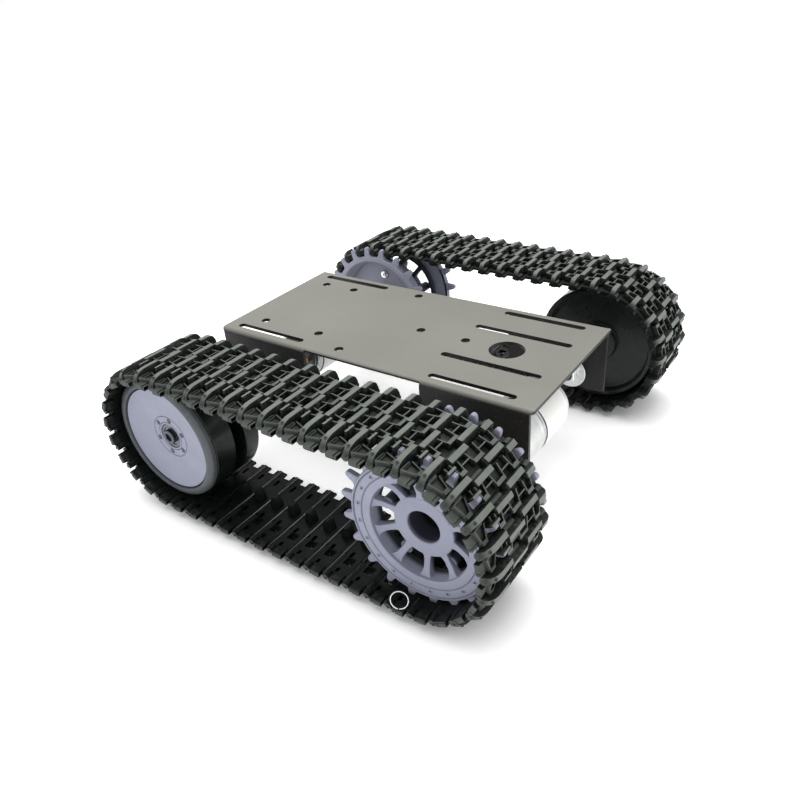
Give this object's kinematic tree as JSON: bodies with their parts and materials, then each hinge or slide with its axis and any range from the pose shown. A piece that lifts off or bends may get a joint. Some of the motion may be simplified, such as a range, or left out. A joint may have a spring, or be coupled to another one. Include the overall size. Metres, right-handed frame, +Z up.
{
  "type": "tracked robot chassis",
  "caption": "Low tracked chassis: a slotted sheet-metal deck on two plastic link tracks, each driven by a toothed wheel and guided by a smooth idler.",
  "frame": {"origin": "centre of the footprint, on the ground under the tracks", "axes": "+X along the tracks, towards the end where the right-hand track is driven; +Y across the chassis, towards the left-hand track; +Z up"},
  "size_m": [0.19, 0.2, 0.0678],
  "materials": {
    "deck_coating": "satin warm grey coating with a fine grain, blacker on the folded flanges",
    "track_plastic": "moulded black-green plastic with a soft sheen on the raised bars",
    "wheel_plastic": "moulded lavender-grey plastic",
    "drum_plastic": "glossy black moulding",
    "gearbox_metal": "light satin metal",
    "can_steel": "drawn steel can",
    "label_film": "plain white wrap label, its printing left out",
    "end_cap_plastic": "black moulded brush cap",
    "bright_steel": "bright plated steel",
    "dark_steel": "blackened steel",
    "bearing_steel": "ground bearing steel",
    "turned_aluminium": "turned aluminium",
    "brass": "machined brass"
  },
  "bodies": {
    "chassis": {"chassis_deck": "deck_coating", "snap_ring_right": "bright_steel", "track_right_upper_run": "track_plastic", "track_right_lower_run": "track_plastic", "track_right_sprocket_wrap": "track_plastic", "track_right_idler_wrap": "track_plastic", "gearbox_right": "gearbox_metal", "motor_can_right": "can_steel", "motor_label_right": "label_film", "motor_end_cap_right": "end_cap_plastic", "motor_screw_a_right": "bright_steel", "motor_screw_b_right": "bright_steel", "idler_bolt_right": "dark_steel", "idler_spacer_right": "turned_aluminium", "idler_washer_right": "bright_steel", "idler_nut_right": "bright_steel", "track_left_upper_run": "track_plastic", "track_left_lower_run": "track_plastic", "track_left_sprocket_wrap": "track_plastic", "track_left_idler_wrap": "track_plastic", "gearbox_left": "gearbox_metal", "motor_can_left": "can_steel", "motor_label_left": "label_film", "motor_end_cap_left": "end_cap_plastic", "motor_screw_a_left": "bright_steel", "motor_screw_b_left": "bright_steel", "idler_bolt_left": "dark_steel", "idler_spacer_left": "turned_aluminium", "idler_washer_left": "bright_steel", "idler_nut_left": "bright_steel"},
    "right_drive_wheel": {"sprocket_outer_right": "wheel_plastic", "sprocket_inner_right": "wheel_plastic", "sprocket_sleeve_right": "wheel_plastic", "sprocket_screw_right": "bright_steel", "output_shaft_right": "bright_steel", "hex_coupling_right": "brass", "grub_screw_right": "dark_steel"},
    "right_idler_wheel": {"idler_cap_right": "wheel_plastic", "idler_outer_drum_right": "drum_plastic", "idler_inner_drum_right": "drum_plastic", "idler_outer_bearing_right": "bearing_steel", "idler_inner_bearing_right": "bearing_steel"},
    "left_drive_wheel": {"sprocket_outer_left": "wheel_plastic", "sprocket_inner_left": "wheel_plastic", "sprocket_sleeve_left": "wheel_plastic", "sprocket_screw_left": "bright_steel", "output_shaft_left": "bright_steel", "hex_coupling_left": "brass", "grub_screw_left": "dark_steel"},
    "left_idler_wheel": {"idler_cap_left": "wheel_plastic", "idler_outer_drum_left": "drum_plastic", "idler_inner_drum_left": "drum_plastic", "idler_outer_bearing_left": "bearing_steel", "idler_inner_bearing_left": "bearing_steel"}
  },
  "joints": [
    {"name": "right_drive", "type": "hinge", "parent": "chassis", "child": "right_drive_wheel", "pos_m": [0.0611, -0.079, 0.0339], "axis": [0, 1, 0], "continuous": true, "deforming": ["track_right_upper_run", "track_right_lower_run", "track_right_sprocket_wrap", "track_right_idler_wrap"]},
    {"name": "right_idler_spin", "type": "hinge", "parent": "chassis", "child": "right_idler_wheel", "pos_m": [-0.0611, -0.079, 0.0339], "axis": [0, 1, 0], "continuous": true},
    {"name": "left_drive", "type": "hinge", "parent": "chassis", "child": "left_drive_wheel", "pos_m": [-0.0611, 0.079, 0.0339], "axis": [0, 1, 0], "continuous": true, "deforming": ["track_left_upper_run", "track_left_lower_run", "track_left_sprocket_wrap", "track_left_idler_wrap"]},
    {"name": "left_idler_spin", "type": "hinge", "parent": "chassis", "child": "left_idler_wheel", "pos_m": [0.0611, 0.079, 0.0339], "axis": [0, 1, 0], "continuous": true}
  ],
  "couplings": [
    {"joint": "right_idler_spin", "follows": "right_drive", "ratio": 1},
    {"joint": "left_idler_spin", "follows": "left_drive", "ratio": 1}
  ]
}
